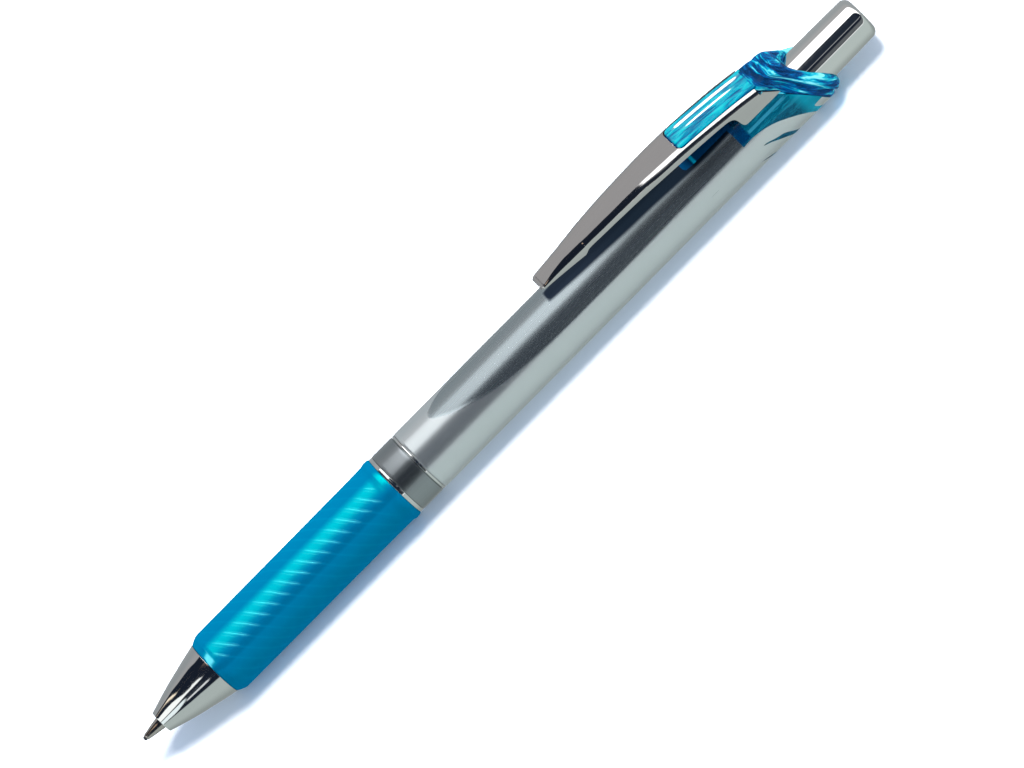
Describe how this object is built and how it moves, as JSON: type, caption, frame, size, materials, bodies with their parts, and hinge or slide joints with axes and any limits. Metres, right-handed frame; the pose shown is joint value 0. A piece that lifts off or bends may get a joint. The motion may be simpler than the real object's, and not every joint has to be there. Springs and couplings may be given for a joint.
{
  "type": "mechanical pencil",
  "caption": "Push-button mechanical pencil with sliding tip sleeve, ribbed rubber grip, silver barrel, clear crown, sprung clip and pull-off cap over an eraser.",
  "frame": {"origin": "under the middle of the pencil's length, at its lowest point when it lies clip up", "axes": "+X along the axis from the writing tip to the button, +Z towards the clip, Y across; the plane y = 0 is the symmetry plane"},
  "size_m": [0.145, 0.0108, 0.0156],
  "materials": {
    "chrome": "mirror plating",
    "grip_rubber": "translucent satin rubber",
    "core_plastic": "moulded ribs",
    "collar_metal": "fine brushed lacquer",
    "silver_barrel": "metallic silver paint over clear blue plastic",
    "clear_blue": "clear moulded plastic",
    "clip_chrome": "satin face with polished edges",
    "brass": "turned",
    "spring_steel": "drawn wire",
    "guide_plastic": "moulded",
    "tank_plastic": "dark smoke tube",
    "eraser_white": "vinyl eraser",
    "retainer_rubber": "soft rubber",
    "graphite": "polymer lead"
  },
  "bodies": {
    "root": {"nose_cone": "chrome", "grip_core": "core_plastic", "grip_sleeve": "grip_rubber", "front_ring": "chrome", "band_collar": "collar_metal", "joint_ring": "chrome", "rear_barrel": "silver_barrel", "crown": "clear_blue", "guide_sleeve": "guide_plastic", "chuck_spring": "spring_steel"},
    "tip": {"tip_sleeve": "chrome", "lead_retainer": "retainer_rubber"},
    "lead": {"lead": "graphite"},
    "advance": {"chuck": "brass", "tank_connector": "guide_plastic", "lead_tank": "tank_plastic", "spare_leads": "graphite"},
    "clutch": {"clutch_ring": "brass"},
    "clip": {"clip": "clip_chrome"},
    "eraser": {"eraser_holder": "guide_plastic", "eraser": "eraser_white"},
    "cap": {"push_button": "chrome"}
  },
  "joints": [
    {"name": "button_press", "type": "slide", "parent": "root", "child": "advance", "axis": [-1, 0, 0], "range_m": [0, 0.0035], "deforming": ["chuck_spring"]},
    {"name": "clutch_travel", "type": "slide", "parent": "root", "child": "clutch", "axis": [-1, 0, 0], "range_m": [0, 0.0012]},
    {"name": "lead_feed", "type": "slide", "parent": "root", "child": "lead", "axis": [-1, 0, 0], "range_m": [-0.0004, 0.04]},
    {"name": "tip_retract", "type": "slide", "parent": "root", "child": "tip", "axis": [1, 0, 0], "range_m": [0, 0.003]},
    {"name": "eraser_pull", "type": "slide", "parent": "advance", "child": "eraser", "axis": [1, 0, 0], "range_m": [0, 0.02]},
    {"name": "cap_pull", "type": "slide", "parent": "eraser", "child": "cap", "axis": [1, 0, 0], "range_m": [0, 0.02]},
    {"name": "clip_flex", "type": "hinge", "parent": "root", "child": "clip", "pos_m": [0.0564, 0, 0.01442], "axis": [0, 1, 0], "range_deg": [0, 2.5]}
  ],
  "couplings": [
    {"joint": "clutch_travel", "follows": "button_press", "ratio": 0.34}
  ]
}
